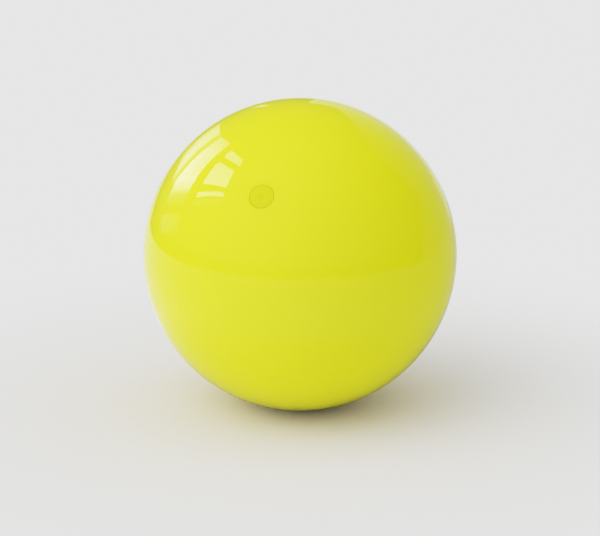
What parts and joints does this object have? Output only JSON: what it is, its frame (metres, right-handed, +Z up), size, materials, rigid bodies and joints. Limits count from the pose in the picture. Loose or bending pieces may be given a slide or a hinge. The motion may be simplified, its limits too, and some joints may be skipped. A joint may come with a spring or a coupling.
{
  "type": "juggling ball",
  "caption": "Smooth glossy yellow juggling ball: soft moulded shell nearly full of loose grain, closed by a small round press-in plug, resting on a small flattened patch.",
  "frame": {"origin": "centre of the ball", "axes": "+Z up with the ball at rest on its flattened patch; the plug lies in the plane x = 0, on the -Y side, with its axis 33.3 degrees above level; +X completes the right-handed frame"},
  "size_m": [0.067, 0.067, 0.0667],
  "materials": {
    "shell_pvc": "gloss",
    "plug_pvc": "satin",
    "grain": "matte"
  },
  "bodies": {
    "shell": {"shell": "shell_pvc"},
    "filling": {"filling": "grain"},
    "plug": {"plug": "plug_pvc"}
  },
  "joints": [
    {"name": "filling_turn", "type": "hinge", "parent": "shell", "child": "filling", "pos_m": [0, 0, 0], "axis": [1, 0, 0], "continuous": true},
    {"name": "plug_pull", "type": "slide", "parent": "shell", "child": "plug", "axis": [0, -0.8358, 0.549], "range_m": [0, 0.014]}
  ]
}
